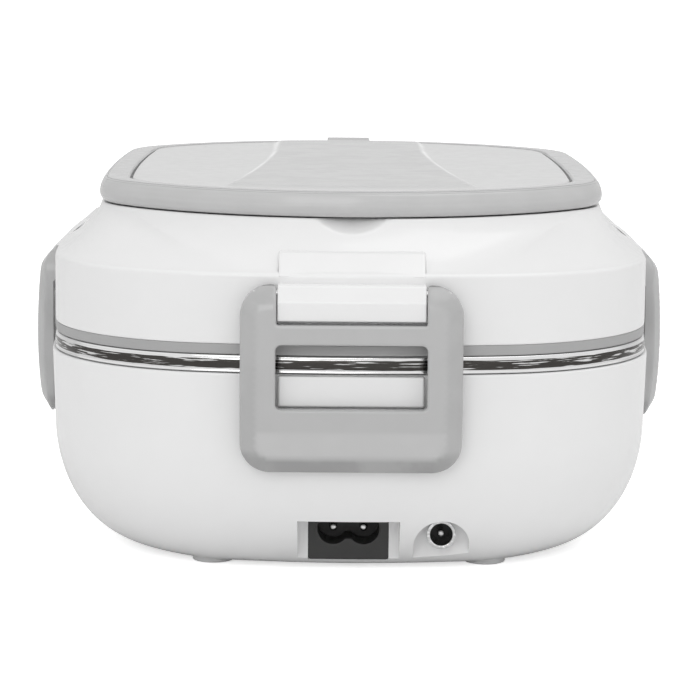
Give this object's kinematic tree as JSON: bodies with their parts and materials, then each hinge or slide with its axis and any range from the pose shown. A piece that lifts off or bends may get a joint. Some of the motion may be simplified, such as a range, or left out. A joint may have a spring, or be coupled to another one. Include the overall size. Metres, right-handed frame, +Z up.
{
  "type": "electric lunch box",
  "caption": "Portable heated lunch box: bowl-shaped base, lift-out steel container, snap-clip lid and hinged cutlery cover.",
  "frame": {"origin": "centre of the footprint on the surface it stands on", "axes": "+Z up, -Y towards the short side with the sockets, +X to the right seen from there"},
  "size_m": [0.1922, 0.2502, 0.1098],
  "materials": {
    "white_gloss": "smooth gloss",
    "grey_gloss": "smooth gloss",
    "panel_gloss": "smooth gloss",
    "seal_silicone": "matt silicone",
    "polished_steel": "polished stainless",
    "well_plastic": "fine matt",
    "plate_aluminium": "brushed",
    "steel_parts": "zinc plated",
    "contact_metal": "bright nickel",
    "black_plastic": "fine matt",
    "foot_rubber": "matt silicone",
    "foam": "foil-faced foam",
    "wire_red": "satin insulation",
    "wire_black": "satin insulation"
  },
  "bodies": {
    "base": {"base_shell": "white_gloss", "rubber_feet": "foot_rubber", "base_screws": "steel_parts", "inner_well": "well_plastic", "heater_plate": "plate_aluminium", "mains_heater": "plate_aluminium", "car_heater": "plate_aluminium", "heater_clamps": "steel_parts", "clamp_screws": "steel_parts", "thermal_fuse": "plate_aluminium", "insulation_sheet": "foam", "ac_inlet_body": "black_plastic", "ac_inlet_pins": "contact_metal", "dc_jack_body": "black_plastic", "dc_jack_barrel": "contact_metal", "dc_jack_pin": "contact_metal", "mains_leads": "wire_red", "car_leads": "wire_black"},
    "container": {"steel_container": "polished_steel"},
    "lid": {"lid_shell": "white_gloss", "lid_liner": "white_gloss", "lid_gasket": "seal_silicone", "cover_hinge_pin": "steel_parts"},
    "cover": {"cover_frame": "grey_gloss", "cover_panel": "panel_gloss"},
    "front_clip": {"front_clip": "grey_gloss", "front_clip_pin": "steel_parts"},
    "right_clip": {"right_clip": "grey_gloss", "right_clip_pin": "steel_parts"},
    "rear_clip": {"rear_clip": "grey_gloss", "rear_clip_pin": "steel_parts"},
    "left_clip": {"left_clip": "grey_gloss", "left_clip_pin": "steel_parts"}
  },
  "joints": [
    {"name": "lid_lift", "type": "slide", "parent": "base", "child": "lid", "axis": [0, 0, 1], "range_m": [0, 0.16]},
    {"name": "container_lift", "type": "slide", "parent": "base", "child": "container", "axis": [0, 0, 1], "range_m": [0, 0.07]},
    {"name": "cover_hinge", "type": "hinge", "parent": "lid", "child": "cover", "pos_m": [0, 0.1058, 0.1052], "axis": [-1, 0, 0], "range_deg": [0, 100]},
    {"name": "front_clip_hinge", "type": "hinge", "parent": "lid", "child": "front_clip", "pos_m": [0, -0.12, 0.0813], "axis": [-1, 0, 0], "range_deg": [0, 120]},
    {"name": "right_clip_hinge", "type": "hinge", "parent": "lid", "child": "right_clip", "pos_m": [0.091, 0, 0.0813], "axis": [0, -1, 0], "range_deg": [0, 120]},
    {"name": "rear_clip_hinge", "type": "hinge", "parent": "lid", "child": "rear_clip", "pos_m": [0, 0.12, 0.0813], "axis": [1, 0, 0], "range_deg": [0, 120]},
    {"name": "left_clip_hinge", "type": "hinge", "parent": "lid", "child": "left_clip", "pos_m": [-0.091, 0, 0.0813], "axis": [0, 1, 0], "range_deg": [0, 120]}
  ],
  "couplings": [
    {"joint": "container_lift", "follows": "lid_lift", "ratio": 0.4375}
  ]
}
